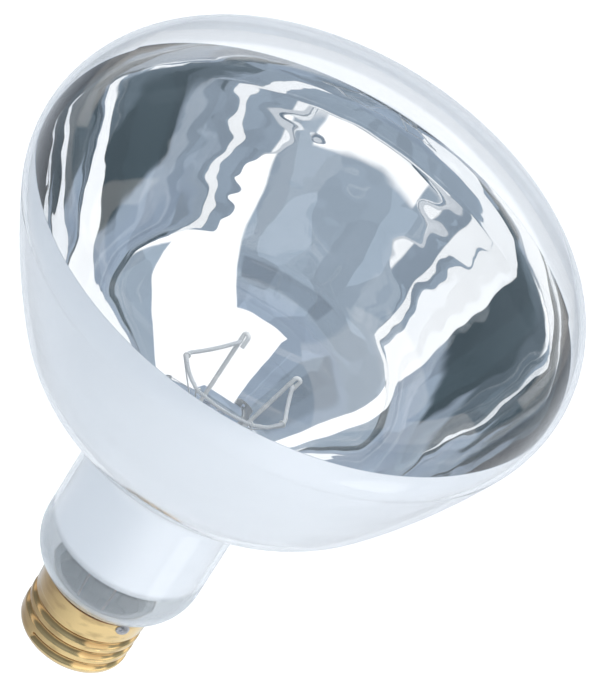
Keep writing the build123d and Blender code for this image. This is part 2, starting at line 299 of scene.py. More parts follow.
def place_group() -> bpy.types.NodeTree:
    """Builds the group that reads the place on the piece.

    Returns:
        Group with the outputs Radius, Height and Side, all in metres.
    """
    group, fresh = shared_group("piece_place", {}, {"Radius": FLOAT, "Height": FLOAT, "Side": FLOAT})
    if fresh:
        nodes, links = group.nodes, group.links
        place = nodes.new("ShaderNodeTexCoord")
        split = nodes.new("ShaderNodeSeparateXYZ")
        flat = nodes.new("ShaderNodeVectorMath")
        flat.operation = "MULTIPLY"
        flat.inputs[1].default_value = (1, 1, 0)
        reach = nodes.new("ShaderNodeVectorMath")
        reach.operation = "LENGTH"
        result = nodes.new("NodeGroupOutput")
        links.new(place.outputs["Object"], split.inputs["Vector"])
        links.new(place.outputs["Object"], flat.inputs[0])
        links.new(flat.outputs["Vector"], reach.inputs[0])
        links.new(reach.outputs["Value"], result.inputs["Radius"])
        links.new(split.outputs["Z"], result.inputs["Height"])
        links.new(split.outputs["X"], result.inputs["Side"])
    return group


def mask_group() -> bpy.types.NodeTree:
    """Builds the group that turns a value into a soft mask.

    Returns:
        Group with the inputs Value, Zero, One and Most and the output Mask.
    """
    inputs = {"Value": FLOAT, "Zero": FLOAT, "One": FLOAT, "Most": FLOAT}
    group, fresh = shared_group("soft_mask", inputs, {"Mask": FLOAT})
    if fresh:
        source = group.nodes.new("NodeGroupInput")
        ramp = group.nodes.new("ShaderNodeMapRange")
        ramp.interpolation_type = "SMOOTHSTEP"
        result = group.nodes.new("NodeGroupOutput")
        for label, entry in (("Value", "Value"), ("Zero", "From Min"), ("One", "From Max"), ("Most", "To Max")):
            group.links.new(source.outputs[label], ramp.inputs[entry])
        group.links.new(ramp.outputs["Result"], result.inputs["Mask"])
    return group


def wave_group() -> bpy.types.NodeTree:
    """Builds the group that gives a slow uneven pattern over the piece.

    Returns:
        Group with the inputs Stretch and Detail and the output Height.
    """
    group, fresh = shared_group("slow_wave", {"Stretch": VECTOR, "Detail": FLOAT}, {"Height": FLOAT})
    if fresh:
        nodes, links = group.nodes, group.links
        source = nodes.new("NodeGroupInput")
        place = nodes.new("ShaderNodeTexCoord")
        scale = nodes.new("ShaderNodeMapping")
        noise = nodes.new("ShaderNodeTexNoise")
        noise.inputs["Scale"].default_value = 1.0
        noise.inputs["Roughness"].default_value = 0.42
        result = nodes.new("NodeGroupOutput")
        links.new(place.outputs["Object"], scale.inputs["Vector"])
        links.new(source.outputs["Stretch"], scale.inputs["Scale"])
        links.new(scale.outputs["Vector"], noise.inputs["Vector"])
        links.new(source.outputs["Detail"], noise.inputs["Detail"])
        links.new(noise.outputs["Fac"], result.inputs["Height"])
    return group


def masked(
    tree: bpy.types.NodeTree, value: bpy.types.NodeSocket, zero: float, one: float, most: float = 1.0
) -> bpy.types.NodeSocket:
    """Turns a value into a soft mask.

    Args:
        tree: Node tree.
        value: Value to read.
        zero: Value at which the mask is 0.
        one: Value at which the mask is full.
        most: Full strength of the mask.

    Returns:
        The mask.
    """
    values = {"Value": value, "Zero": zero, "One": one, "Most": most}
    return placed(tree, mask_group(), values).outputs["Mask"]


def tinted(
    tree: bpy.types.NodeTree,
    mask: bpy.types.NodeSocket,
    under: bpy.types.NodeSocket,
    over: tuple[float, float, float],
) -> bpy.types.NodeSocket:
    """Lays a colour over another.

    Args:
        tree: Node tree.
        mask: Where the upper colour shows.
        under: Lower colour.
        over: Upper colour.

    Returns:
        The mixed colour.
    """
    node = tree.nodes.new("ShaderNodeMix")
    node.data_type = "RGBA"
    tree.links.new(mask, node.inputs["Factor"])
    tree.links.new(under, node.inputs[6])
    node.inputs[7].default_value = (*over, 1)
    return node.outputs[2]


@dataclass(frozen=True)
class Glass:
    """Clear blown glass that lets light through to what it covers."""

    name: str
    tint: tuple[float, float, float] = (1.0, 1.0, 1.0)
    ior: float = 1.5

    def material(self) -> bpy.types.Material:
        """Builds the node material.

        Returns:
            The material.
        """
        made, tree, shader = new_material(self.name)
        shader.inputs["Base Color"].default_value = (*self.tint, 1)
        shader.inputs["Roughness"].default_value = 0.0
        shader.inputs["IOR"].default_value = self.ior
        shader.inputs["Transmission Weight"].default_value = 1.0
        rays = tree.nodes.new("ShaderNodeLightPath")
        clear = tree.nodes.new("ShaderNodeBsdfTransparent")
        clear.inputs["Color"].default_value = (0.92, 0.93, 0.93, 1)
        mix = tree.nodes.new("ShaderNodeMixShader")
        soft = tree.nodes.new("ShaderNodeMath")
        soft.operation = "MAXIMUM"
        tree.links.new(rays.outputs["Is Shadow Ray"], soft.inputs[0])
        tree.links.new(rays.outputs["Is Diffuse Ray"], soft.inputs[1])
        tree.links.new(soft.outputs["Value"], mix.inputs["Fac"])
        tree.links.new(shader.outputs["BSDF"], mix.inputs[1])
        tree.links.new(clear.outputs["BSDF"], mix.inputs[2])
        tree.links.new(mix.outputs["Shader"], tree.nodes["Material Output"].inputs["Surface"])
        return made


@dataclass(frozen=True)
class Metal:
    """Polished or drawn metal with a little uneven sheen."""

    name: str
    colour: tuple[float, float, float]
    roughness: float
    metallic: float = 1.0
    wave: float = 0.0
    wave_scale: tuple[float, float, float] = (1.0, 1.0, 1.0)

    def material(self) -> bpy.types.Material:
        """Builds the node material.

        Returns:
            The material.
        """
        made, tree, shader = new_material(self.name)
        shader.inputs["Base Color"].default_value = (*self.colour, 1)
        shader.inputs["Metallic"].default_value = self.metallic
        shader.inputs["Roughness"].default_value = self.roughness
        if self.wave:
            wave = placed(tree, wave_group(), {"Stretch": self.wave_scale, "Detail": 3.0})
            bump = tree.nodes.new("ShaderNodeBump")
            bump.inputs["Strength"].default_value = 1.0
            bump.inputs["Distance"].default_value = self.wave
            tree.links.new(wave.outputs["Height"], bump.inputs["Height"])
            tree.links.new(bump.outputs["Normal"], shader.inputs["Normal"])
        return made


@dataclass(frozen=True)
class EnvelopeGlass(Glass):
    """Clear glass with the thin grey haze that the lining leaves below its edge in the neck."""

    haze: tuple[float, float, float] = (0.7, 0.74, 0.76)
    haze_top: float = 0.0402
    haze_full: float = 0.0375
    haze_strength: float = 0.26

    def material(self) -> bpy.types.Material:
        """Builds the node material.

        Returns:
            The material.
        """
        made = super().material()
        tree = made.node_tree
        output = tree.nodes["Material Output"]
        glass = output.inputs["Surface"].links[0].from_socket
        height = placed(tree, place_group()).outputs["Height"]
        film = tree.nodes.new("ShaderNodeBsdfPrincipled")
        film.inputs["Base Color"].default_value = (*self.haze, 1)
        film.inputs["Metallic"].default_value = 0.5
        film.inputs["Roughness"].default_value = 0.45
        mix = tree.nodes.new("ShaderNodeMixShader")
        tree.links.new(masked(tree, height, self.haze_top, self.haze_full, self.haze_strength), mix.inputs["Fac"])
        tree.links.new(glass, mix.inputs[1])
        tree.links.new(film.outputs["BSDF"], mix.inputs[2])
        tree.links.new(mix.outputs["Shader"], output.inputs["Surface"])
        return made


@dataclass(frozen=True)
class RolledBrass:
    """Bright rolled brass with stains, and with painted shade in the groove, on the -X side and along the rim's top
    edge.
    """

    name: str
    colour: tuple[float, float, float] = (0.87, 0.63, 0.3)
    # Colour of the painted shade in the groove.
    groove: tuple[float, float, float] = (0.36, 0.2, 0.075)
    # Colour of the stains, also used for the painted shade on the -X side.
    stain_and_shade: tuple[float, float, float] = (0.3, 0.19, 0.095)
    stain_scale: tuple[float, float, float] = (160.0, 160.0, 420.0)
    # Colour of the painted shade along the rim's top edge.
    rim_shade: tuple[float, float, float] = (0.16, 0.06, 0.03)
    roughness: float = 0.16

    def material(self) -> bpy.types.Material:
        """Builds the node material.

        Returns:
            The material.
        """
        made, tree, shader = new_material(self.name)
        place = placed(tree, place_group()).outputs
        stain = placed(tree, wave_group(), {"Stretch": self.stain_scale, "Detail": 5.0}).outputs["Height"]
        base = tree.nodes.new("ShaderNodeRGB")
        base.outputs[0].default_value = (*self.colour, 1)
        stained = tinted(tree, masked(tree, stain, 0.5, 0.66, 0.45), base.outputs[0], self.stain_and_shade)
        # Painted shade: the brass darkens towards the -X side, where the cap gets less light.
        side_shaded = tinted(tree, masked(tree, place["Side"], 0.002, -0.0125, 0.8), stained, self.stain_and_shade)
        # Painted shade: the brass darkens inside the groove, below a radius of 12.85 mm.
        groove_shaded = tinted(tree, masked(tree, place["Radius"], 0.01285, 0.0123, 0.6), side_shaded, self.groove)
        # Painted shade: a dark line along the rim's top edge, at the gap to the glass.
        rim_shaded = tinted(tree, masked(tree, place["Height"], 0.0235, 0.0238, 0.9), groove_shaded, self.rim_shade)
        tree.links.new(rim_shaded, shader.inputs["Base Color"])
        shader.inputs["Metallic"].default_value = 1.0
        shader.inputs["Roughness"].default_value = self.roughness
        return made


@dataclass(frozen=True)
class Opaque:
    """Plain opaque finish, such as cement or dark pressed glass."""

    name: str
    colour: tuple[float, float, float]
    roughness: float

    def material(self) -> bpy.types.Material:
        """Builds the node material.

        Returns:
            The material.
        """
        made, tree, shader = new_material(self.name)
        shader.inputs["Base Color"].default_value = (*self.colour, 1)
        shader.inputs["Roughness"].default_value = self.roughness
        return made


FINISHES = {
    Slot.GLASS: Glass("clear_glass_finish"),
    Slot.MIRROR: Metal("mirror_finish", (0.88, 0.895, 0.91), 0.008, 1.0, 0.0008, (22.0, 22.0, 27.0)),
    Slot.BRASS: RolledBrass("brass_finish"),
    Slot.BLACK_GLASS: Opaque("black_glass_finish", (0.02, 0.02, 0.025), 0.15),
    Slot.SOLDER: Metal("solder_finish", (0.5, 0.49, 0.5), 0.3, 1.0, 0.003, (600.0, 600.0, 600.0)),
    Slot.CEMENT: Opaque("cement_finish", (0.8, 0.79, 0.75), 0.9),
    Slot.SHEET: Metal("aluminium_finish", (0.8, 0.81, 0.82), 0.28),
    Slot.WIRE: Metal("nickel_finish", (0.97, 0.965, 0.95), 0.2, 0.05),
    Slot.COPPER: Metal("copper_finish", (0.8, 0.42, 0.28), 0.3),
    Slot.TUNGSTEN: Metal("tungsten_finish", (0.94, 0.945, 0.95), 0.3, 0.1),
}


@dataclass
class Workshop:
    """Keeps one material of each slot and dresses pieces with them."""

    made: dict[Slot, bpy.types.Material] = field(default_factory=dict)

    def dress(self, piece: bpy.types.Object, kind: Slot, finish: object = None) -> None:
        """Gives a piece the finish of a slot.

        Args:
            piece: Piece or CAD node.
            kind: Slot that the finish belongs to.
            finish: Finish of the piece's own, in place of the slot's.
        """
        if finish is None and kind not in self.made:
            self.made[kind] = FINISHES[kind].material()
        coat = finish.material() if finish else self.made[kind]
        if not piece.material_slots:
            piece.data.materials.append(coat)
        for entry in piece.material_slots:
            entry.material = coat


# ---------------------------------------------------------------- the bulb


@dataclass
class Bulb:
    """Blown glass envelope with the silver lining inside its bowl and neck. Sizes in millimetres."""

    equator_radius: float = 63.5
    equator_height: float = 128.0
    face_radius: float = 95.0
    shoulder_radius: float = 22.0
    shoulder_run_on: float = 20.0
    bowl_radius: float = 187.0
    bowl_turn: float = 10.5
    knee_radius: float = 41.0
    knee_turn: float = 22.5
    fold_radius: float = 8.5
    neck_radius: float = 19.2
    neck_foot_height: float = 35.0
    neck_foot_radius: float = 12.4
    throat_radius: float = 11.2
    throat_end_height: float = 13.0
    glass_wall: float = 1.1
    mirror_gap: float = 0.05
    mirror_thickness: float = 0.12
    mirror_neck_height: float = 38.5
    mirror_edge_height: float = 129.6
    steps: int = 224

    def outline(self, inset: float) -> list[Point]:
        """Draws the outline of the blown shape, moved inwards.

        Args:
            inset: Distance inwards from the outer surface.

        Returns:
            Points from the pole of the face to the end of the throat.
        """
        reach = self.equator_radius - self.shoulder_radius
        face_turn = math.degrees(math.asin(reach / (self.face_radius - self.shoulder_radius)))
        face_drop = math.sqrt((self.face_radius - self.shoulder_radius) ** 2 - reach**2)
        top = self.equator_height - face_drop + self.face_radius - inset
        flare = 90 - self.shoulder_run_on - self.bowl_turn - self.knee_turn
        pen = Outline((0, top), 0, 1.8)
        pen.arc(self.face_radius - inset, -face_turn)
        pen.arc(self.shoulder_radius - inset, face_turn - 90 - self.shoulder_run_on)
        pen.step = 0.7
        pen.arc(self.bowl_radius - inset, -self.bowl_turn)
        pen.step = 1.8
        pen.arc(self.knee_radius - inset, -self.knee_turn)
        fold_end = self.neck_radius - inset + (self.fold_radius + inset) * (1 - math.cos(math.radians(90 - flare)))
        knee_r, knee_z = pen.points[-1]
        slope = math.tan(math.radians(flare))
        pen.line((fold_end, knee_z - (knee_r - fold_end) * slope), parts=6)
        pen.step = 4.0
        pen.arc(self.fold_radius + inset, 90 - flare)
        pen.line((self.neck_radius - inset, self.neck_foot_height), parts=8)
        foot_middle = self.neck_radius - self.neck_foot_radius
        turn = math.degrees(math.acos((self.throat_radius - foot_middle) / self.neck_foot_radius))
        pen.arc(self.neck_foot_radius - inset, -turn)
        pen.line((self.throat_radius - inset, self.throat_end_height), parts=3)
        return pen.points

    def build(self, shop: Workshop) -> None:
        """Models the glass and the lining in place of their CAD nodes.

        Args:
            shop: Workshop that gives the finishes.
        """
        outer, inner = self.outline(0), self.outline(self.glass_wall)
        glass = spun("bulb_glass", outer + inner[::-1], self.steps, closed=False)
        back_inset = self.glass_wall + self.mirror_gap
        low, high = self.mirror_neck_height, self.mirror_edge_height
        back = between(self.outline(back_inset), low, high)
        face = between(self.outline(back_inset + self.mirror_thickness), low, high)
        lining = spun("silver_lining", back + face[::-1], self.steps, closed=True)
        for piece, kind, node in (
            (glass, Slot.GLASS, "glass_envelope"),
            (lining, Slot.MIRROR, "mirror_coating"),
        ):
            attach(piece, "root")
            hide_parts(node)
            shop.dress(piece, kind, EnvelopeGlass("bulb_glass_finish") if kind is Slot.GLASS else None)
            log.info("%s: %d points", piece.name, len(piece.data.vertices))


# ---------------------------------------------------------------- the cap


@dataclass
class ScrewShell:
    """Rolled brass shell of the cap, with a soft helical groove. Sizes in millimetres."""

    skirt_radius: float = 13.14
    skirt_top: float = 24.0
    skirt_foot: float = 18.7
    skirt_bore: float = 12.85
    crest_radius: float = 13.05
    core_bore: float = 11.9
    round_height: float = 8.6
    round_radius: float = 3.0
    round_turn: float = 65.0
    pitch: float = 3.63
    groove_depth: float = 0.95
    groove_width: float = 2.8
    groove_foot: float = 8.7
    groove_start: float = 120.0
    half_turns: int = 5
    steps: int = 192

    def core(self) -> bpy.types.Object:
        """Turns the shell without its thread.

        Returns:
            The closed shell.
        """
        pen = Outline((self.skirt_bore, self.skirt_foot + 1.0), 90, 6.0)
        pen.line((self.skirt_bore, self.skirt_top - 0.1))
        pen.line((self.skirt_bore + 0.1, self.skirt_top), (self.skirt_radius - 0.08, self.skirt_top))
        pen.line((self.skirt_radius, self.skirt_top - 0.08), (self.skirt_radius, self.skirt_foot + 0.2))
        pen.line((self.crest_radius, self.skirt_foot - 0.1), (self.crest_radius, self.round_height), parts=6)
        pen.heading = -90
        pen.arc(self.round_radius, -self.round_turn)
        foot_r, foot_z = pen.points[-1]
        pen.line((foot_r, foot_z + 0.4), (self.core_bore, self.round_height + 0.6), (self.core_bore, self.skirt_foot))
        return spun("screw_cap_shell", pen.points, self.steps, closed=True)

    def groove(self) -> list[Vector]:
        """Section of the groove's cutter at the right of the axis, centred on height 0.

        Returns:
            Points in metres, from the lower lip over the outside.
        """
        lip = self.crest_radius + 0.01
        count = 16
        section = []
        for i in range(count + 1):
            t = i / count
            depth = self.groove_depth * (0.5 - 0.5 * math.cos(math.tau * t))
            section.append(Vector(((lip - depth) * MM, 0, (t - 0.5) * self.groove_width * MM)))
        far = (self.crest_radius + 1.0) * MM
        section.append(Vector((far, 0, self.groove_width / 2 * MM)))
        section.append(Vector((far, 0, -self.groove_width / 2 * MM)))
        return section

    def helical_cutter(self) -> bpy.types.Object:
        """Sweeps the groove's section up the helix.

        Returns:
            The closed cutter.
        """
        lift = Vector((0, 0, self.groove_foot * MM))
        section = [point + lift for point in self.groove()]
        made = single_point("groove_cutter", section[0])
        extrude_to(section[0], [*section[1:], section[0]])
        bpy.ops.mesh.select_all(action="SELECT")
        bpy.ops.mesh.remove_doubles(threshold=1e-7)
        bpy.ops.object.mode_set(mode="OBJECT")
        sweep = made.modifiers.new("sweep", "SCREW")
        sweep.angle = math.pi
        sweep.screw_offset = self.pitch / 2 * MM
        sweep.iterations = self.half_turns
        sweep.steps = sweep.render_steps = self.steps // 2
        sweep.use_merge_vertices = False
        bpy.ops.object.modifier_apply(modifier=sweep.name)
        bpy.ops.object.mode_set(mode="EDIT")
        bpy.ops.mesh.select_all(action="SELECT")
        bpy.ops.mesh.remove_doubles(threshold=1e-7)
        bpy.ops.mesh.select_mode(type="EDGE")
        bpy.ops.mesh.select_all(action="DESELECT")
        bpy.ops.mesh.select_non_manifold()
        bpy.ops.mesh.fill_holes(sides=0)
        bpy.ops.mesh.select_all(action="SELECT")
        bpy.ops.mesh.normals_make_consistent(inside=False)
        bpy.ops.mesh.select_mode(type="VERT")
        bpy.ops.transform.rotate(
            value=math.radians(self.groove_start), orient_axis="Z", orient_type="GLOBAL", center_override=(0, 0, 0)
        )
        bpy.ops.object.mode_set(mode="OBJECT")
        return made

    def end_cutter(self, angle: float, height: float) -> bpy.types.Object:
        """Makes the round end of the groove.

        Args:
            angle: Bearing of the end in radians from +X.
            height: Height of the end in millimetres.

        Returns:
            The closed cutter.
        """
        section = [point for point in self.groove() if point.z >= -1e-9]
        section.append(Vector((section[-1].x, 0, 0)))
        made = single_point("groove_end_cutter", section[0])
        extrude_to(section[0], section[1:])
        bpy.ops.mesh.select_all(action="SELECT")
        bpy.ops.mesh.spin(steps=48, angle=math.tau, center=(0, 0, 0), axis=(1, 0, 0))
        bpy.ops.mesh.select_all(action="SELECT")
        bpy.ops.mesh.remove_doubles(threshold=1e-7)
        bpy.ops.mesh.normals_make_consistent(inside=False)
        bpy.ops.transform.rotate(value=angle, orient_axis="Z", orient_type="GLOBAL", center_override=(0, 0, 0))
        bpy.ops.transform.translate(value=(0, 0, height * MM))
        bpy.ops.object.mode_set(mode="OBJECT")
        return made

    def build(self, shop: Workshop) -> None:
        """Models the shell in place of its CAD node.

        Args:
            shop: Workshop that gives the finishes.
        """
        shell = self.core()
        start = math.radians(self.groove_start)
        top = self.groove_foot + self.half_turns * self.pitch / 2
        cutters = [
            self.helical_cutter(),
            self.end_cutter(start, self.groove_foot),
            self.end_cutter(start + self.half_turns * math.pi, top),
        ]
        for cutter in cutters:
            deselect()
            shell.select_set(True)
            bpy.context.view_layer.objects.active = shell
            cut = shell.modifiers.new("groove", "BOOLEAN")
            cut.operation = "DIFFERENCE"
            cut.solver = "EXACT"
            cut.object = cutter
            bpy.ops.object.modifier_apply(modifier=cut.name)
            deselect()
            cutter.select_set(True)
            bpy.context.view_layer.objects.active = cutter
            bpy.ops.object.delete()
        deselect()
        shell.select_set(True)
        bpy.context.view_layer.objects.active = shell
        bpy.ops.object.shade_smooth_by_angle(angle=math.radians(40))
        log.info("%s: %d points", shell.name, len(shell.data.vertices))
        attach(shell, "root")
        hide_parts("screw_shell")
        shop.dress(shell, Slot.BRASS)


# ---------------------------------------------------------------- the filament


def round_wire(name: str, points: Sequence[Vector], radius: float, sides: int) -> bpy.types.Object:
    """Draws a round wire along a chain of points.

    Args:
        name: Name of the piece.
        points: Chain in metres.
        radius: Radius in metres.
        sides: Resolution of the wire's roundness.

    Returns:
        The closed wire.
    """
    made = single_point(name, points[0])
    extrude_to(points[0], points[1:])
    bpy.ops.object.mode_set(mode="OBJECT")
    return thickened(made, radius, sides)


def thickened(chain: bpy.types.Object, radius: float, sides: int) -> bpy.types.Object:
    """Gives a chain of edges its round section.

    Args:
        chain: Active mesh of edges.
        radius: Radius in metres.
        sides: Resolution of the roundness.

    Returns:
        The closed wire.
    """
    bpy.ops.object.convert(target="CURVE")
    chain.data.bevel_depth = radius
    chain.data.bevel_resolution = sides
    chain.data.use_fill_caps = True
    bpy.ops.object.convert(target="MESH")
    bpy.ops.object.mode_set(mode="EDIT")
    bpy.ops.mesh.select_all(action="SELECT")
    bpy.ops.mesh.remove_doubles(threshold=1e-7)
    bpy.ops.mesh.normals_make_consistent(inside=False)
    bpy.ops.object.mode_set(mode="OBJECT")
    bpy.ops.object.shade_smooth_by_angle(angle=math.radians(50))
    return chain


@dataclass
class Filament:
    """Coiled wire that hangs between the leads and over the support eyes. Sizes in millimetres."""

    height: float = 91.0
    lean: float = 2.4
    loop_radius: float = 13.8
    corner_angles: tuple[float, ...] = (191.0, 239.0, 300.0, 337.0)
    left_angle: float = 109.0
    right_angle: float = 404.0
    lead_x: float = 3.4
    lead_radius: float = 0.5
    lead_knee_height: float = 55.5
    fold_leg: float = 2.6
    pinch_round: float = 0.68
    coil_gap: float = 0.15
    coil_radius: float = 0.49
    wire_radius: float = 0.14
    tail_radius: float = 0.15
    pitch: float = 0.4
    corner_trim: float = 2.2
    sag: float = 0.5

    def on_loop(self, angle: float) -> Vector:
        """Point of the loop at a bearing.

        Args:
            angle: Degrees from +X.

        Returns:
            Point in millimetres.
        """
        a = math.radians(angle)
        return Vector((self.lean + self.loop_radius * math.cos(a), self.loop_radius * math.sin(a), self.height))

    def pinch(self, side: int, angle: float, corner: Vector) -> Vector:
        """Point where a lead's fold grips the wire.

        Args:
            side: -1 for the left lead, 1 for the right.
            angle: Bearing of the lead's tip in degrees.
            corner: Nearest corner of the loop.

        Returns:
            Point in millimetres.
        """
        knee = Vector((side * self.lead_x, 0, self.lead_knee_height))
        tip = self.on_loop(angle)
        along = (corner - tip).normalized()
        across = Vector((-along.y, along.x, 0))
        across = across if across.x > 0 else -across
        start = tip - across * self.pinch_round + Vector((0, 0, self.fold_leg / 2))
        rise = (start - knee).normalized()
        across = (across - rise * across.dot(rise)).normalized()
        return start + across * self.pinch_round - rise * self.fold_leg / 2

    def corner_middles(self) -> list[Vector]:
        """Middle of the coil at each rounded corner.

        Returns:
            Points in millimetres.
        """
        corners = [self.on_loop(angle) for angle in self.corner_angles]
        grips = [self.pinch(-1, self.left_angle, corners[0]), self.pinch(1, self.right_angle, corners[-1])]
        stops = [grips[0], *corners, grips[1]]
        middles = []
        for before, corner, after in zip(stops, stops[1:], stops[2:]):
            back = (before - corner).normalized() + (after - corner).normalized()
            middles.append(corner + back * self.corner_trim / 4)
        return middles

    def route(self) -> tuple[list[Vector], list[Vector]]:
        """Draws the middle line of the coil.

        Returns:
            The line from end to end in metres, and the two grips.
        """
        corners = [self.on_loop(angle) for angle in self.corner_angles]
        grips = [self.pinch(-1, self.left_angle, corners[0]), self.pinch(1, self.right_angle, corners[-1])]
        clear = self.lead_radius + self.coil_gap
        first = grips[0] + (corners[0] - grips[0]).normalized() * clear
        last = grips[1] + (corners[-1] - grips[1]).normalized() * clear
        stops = [first, *corners, last]
        line = [first]
        for i in range(1, len(stops)):
            before, after = stops[i - 1], stops[i]
            run = (after - before).normalized()
            start = before + run * (self.corner_trim if i > 1 else 0)
            end = after - run * (self.corner_trim if i < len(stops) - 1 else 0)
            count = 8
            for k in range(count + 1):
                t = k / count
                point = start.lerp(end, t)
                point.z -= self.sag * 4 * t * (1 - t)
                line.append(point)
            if i < len(stops) - 1:
                leaving = (stops[i + 1] - after).normalized()
                turn_end = after + leaving * self.corner_trim
                for k in range(1, 6):
                    t = k / 6
                    line.append(end * (1 - t) ** 2 + after * (2 * t * (1 - t)) + turn_end * t**2)
        return [point * MM for point in line[1:]], [grip * MM for grip in grips]

    def build(self, shop: Workshop) -> None:
        """Winds the coil in place of its CAD node.

        Args:
            shop: Workshop that gives the finishes.
        """
        line, grips = self.route()
        length = sum((b - a).length for a, b in zip(line, line[1:]))
        ring = self.coil_radius - self.wire_radius
        parts = 12
        turn = [
            Vector((k / parts * self.pitch, ring * math.cos(math.tau * k / parts), ring * math.sin(math.tau * k / parts)))
            * MM
            for k in range(parts + 1)
        ]
        coil = single_point("filament_coil", turn[0])
        extrude_to(turn[0], turn[1:])
        bpy.ops.object.mode_set(mode="OBJECT")
        rows = coil.modifiers.new("turns", "ARRAY")
        rows.count = int(length / (self.pitch * MM))
        rows.use_relative_offset = False
        rows.use_constant_offset = True
        rows.constant_offset_displace = (self.pitch * MM, 0, 0)
        rows.use_merge_vertices = True
        rows.merge_threshold = 1e-6
        bpy.ops.object.modifier_apply(modifier=rows.name)
        thickened(coil, self.wire_radius * MM, 1)
        guide = single_point("coil_guide", line[0])
        extrude_to(line[0], line[1:])
        bpy.ops.object.mode_set(mode="OBJECT")
        bpy.ops.object.convert(target="CURVE")
        deselect()
        coil.select_set(True)
        bpy.context.view_layer.objects.active = coil
        bend = coil.modifiers.new("bend", "CURVE")
        bend.object = guide
        bpy.ops.object.modifier_apply(modifier=bend.name)
        deselect()
        guide.select_set(True)
        bpy.context.view_layer.objects.active = guide
        bpy.ops.object.delete()
        tails = [
            round_wire("filament_tail", [grip, end], self.tail_radius * MM, 2)
            for grip, end in ((grips[0], line[0]), (grips[1], line[-1]))
        ]
        deselect()
        for piece in (*tails, coil):
            piece.select_set(True)
        bpy.context.view_layer.objects.active = coil
        bpy.ops.object.join()
        log.info("%s: %d points", coil.name, len(coil.data.vertices))
        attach(coil, "root")
        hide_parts("filament")
        shop.dress(coil, Slot.TUNGSTEN)


@dataclass
class Supports:
    """Fine wires that reach from the cane's button and end in eyes round the filament. Sizes in millimetres."""

    seat_radius: float = 1.2
    seat_height: float = 72.2
    eye_radius: float = 0.7
    eye_turn: float = 300.0
    wire_radius: float = 0.17
    names: tuple[str, ...] = ("first_support", "second_support", "third_support", "fourth_support")

    def route(self, centre: Vector) -> list[Vector]:
        """Draws one wire in the upright plane through the filament's corner.

        Args:
            centre: Middle of the eye in millimetres.

        Returns:
            The wire's middle line in metres.
        """
        outward = Vector((centre.x, centre.y, 0)).normalized()
        span = Vector((math.hypot(centre.x, centre.y) - self.seat_radius, centre.z - self.seat_height))
        swing = math.asin(self.eye_radius / span.length)
        bearing = math.atan2(span.y, span.x) - swing
        reach = math.sqrt(span.length**2 - self.eye_radius**2)
        flat = [Vector((self.seat_radius, self.seat_height))]
        flat.append(flat[0] + Vector((math.cos(bearing), math.sin(bearing))) * reach)
        middle = Vector((math.hypot(centre.x, centre.y), centre.z))
        first = bearing - math.pi / 2
        for k in range(1, 25):
            a = first + math.radians(self.eye_turn) * k / 24
            flat.append(middle + Vector((math.cos(a), math.sin(a))) * self.eye_radius)
        return [(outward * p.x + Vector((0, 0, p.y))) * MM for p in flat]

    def build(self, shop: Workshop, filament: Filament) -> None:
        """Bends the wires in place of their CAD nodes.

        Args:
            shop: Workshop that gives the finishes.
            filament: Filament that they carry.
        """
        for name, centre in zip(self.names, filament.corner_middles()):
            made = round_wire(f"{name}_wire", self.route(centre), self.wire_radius * MM, 2)
            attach(made, "root")
            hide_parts(name)
            shop.dress(made, Slot.WIRE)


# ---------------------------------------------------------------- CAD nodes that are shown


SHOWN_NODES = {
    "base_insulator": Slot.BLACK_GLASS,
    "centre_contact": Slot.BRASS,
    "centre_solder": Slot.SOLDER,
    "side_solder": Slot.SOLDER,
    "basing_cement": Slot.CEMENT,
    "stem": Slot.GLASS,
    "exhaust_tube": Slot.GLASS,
    "support_cane": Slot.GLASS,
    "heat_deflector": Slot.SHEET,
    "left_lead": Slot.WIRE,
    "right_lead": Slot.WIRE,
    "left_seal": Slot.COPPER,
    "right_seal": Slot.COPPER,
    "left_feed": Slot.COPPER,
    "right_feed": Slot.COPPER,
}


# ---------------------------------------------------------------- studio


